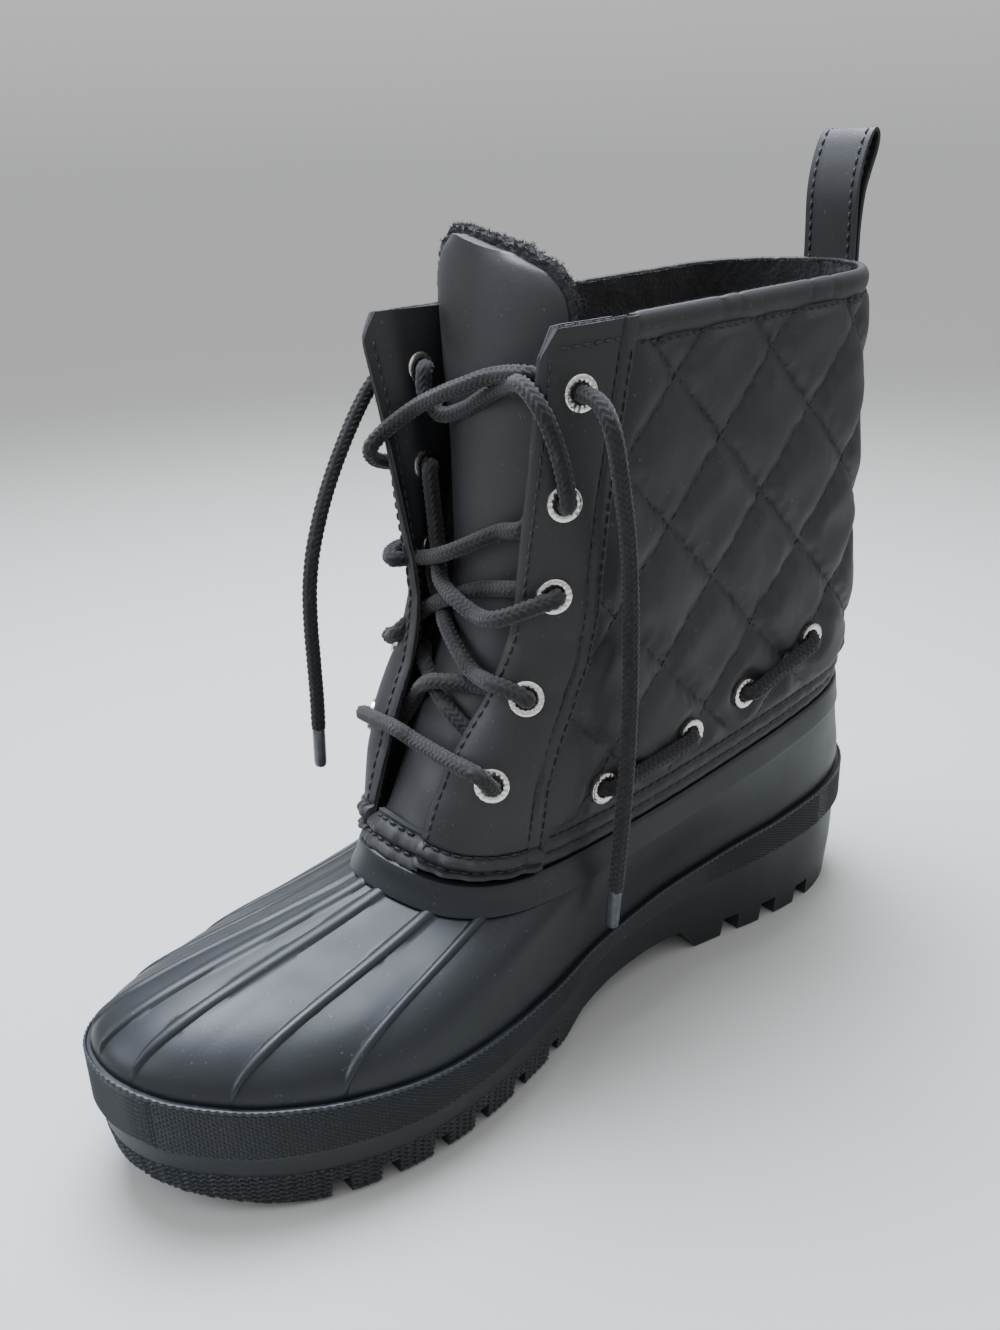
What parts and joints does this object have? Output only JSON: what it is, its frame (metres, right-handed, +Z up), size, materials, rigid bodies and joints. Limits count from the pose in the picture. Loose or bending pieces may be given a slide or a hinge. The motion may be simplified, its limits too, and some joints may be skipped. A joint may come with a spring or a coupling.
{
  "type": "rain boot",
  "caption": "Right lace-up rain boot: ridged rubber shell on a lugged sole, quilted cloth shaft, fleece-lined tongue, ankle cord, pull loop and loose laces.",
  "frame": {"origin": "on the floor under the middle of the boot's box, measured without the free lace ends", "axes": "+X to the toe, +Y to the inner (medial) side, +Z up; the boot stands on its lugs at Z = 0"},
  "size_m": [0.29, 0.1041, 0.2637],
  "materials": {
    "moulded_rubber": "satin moulded rubber, blue-black",
    "coated_cloth": "matte coated synthetic, quilted",
    "fleece": "short black fleece",
    "braided_cord": "braided round cord",
    "nickel_plate": "polished nickel plate",
    "clear_tip": "smoky clear film"
  },
  "bodies": {
    "root": {"outsole": "moulded_rubber", "heel_block": "moulded_rubber", "forefoot_tread": "moulded_rubber", "insole": "fleece", "rubber_shell": "moulded_rubber", "shaft": "coated_cloth", "eyestay_medial": "coated_cloth", "eyestay_lateral": "coated_cloth", "collar_band": "coated_cloth", "tongue": "coated_cloth", "pull_loop": "coated_cloth", "lace_eyelet_medial_1": "nickel_plate", "lace_eyelet_medial_2": "nickel_plate", "lace_eyelet_medial_3": "nickel_plate", "lace_eyelet_medial_4": "nickel_plate", "lace_eyelet_medial_5": "nickel_plate", "lace_eyelet_lateral_1": "nickel_plate", "lace_eyelet_lateral_2": "nickel_plate", "lace_eyelet_lateral_3": "nickel_plate", "lace_eyelet_lateral_4": "nickel_plate", "lace_eyelet_lateral_5": "nickel_plate", "side_eyelet_medial_1": "nickel_plate", "side_eyelet_medial_2": "nickel_plate", "side_eyelet_medial_3": "nickel_plate", "side_eyelet_medial_4": "nickel_plate", "side_eyelet_lateral_1": "nickel_plate", "side_eyelet_lateral_2": "nickel_plate", "side_eyelet_lateral_3": "nickel_plate", "side_eyelet_lateral_4": "nickel_plate", "lace_cross_1": "braided_cord", "lace_cross_2": "braided_cord", "lace_cross_3": "braided_cord", "lace_cross_4": "braided_cord", "side_lace_medial_front": "braided_cord", "side_lace_medial_rear": "braided_cord", "side_lace_lateral_front": "braided_cord", "side_lace_lateral_rear": "braided_cord", "lace_end_medial": "braided_cord", "lace_end_lateral": "braided_cord", "lace_tip_medial": "clear_tip", "lace_tip_lateral": "clear_tip"}
  },
  "joints": []
}
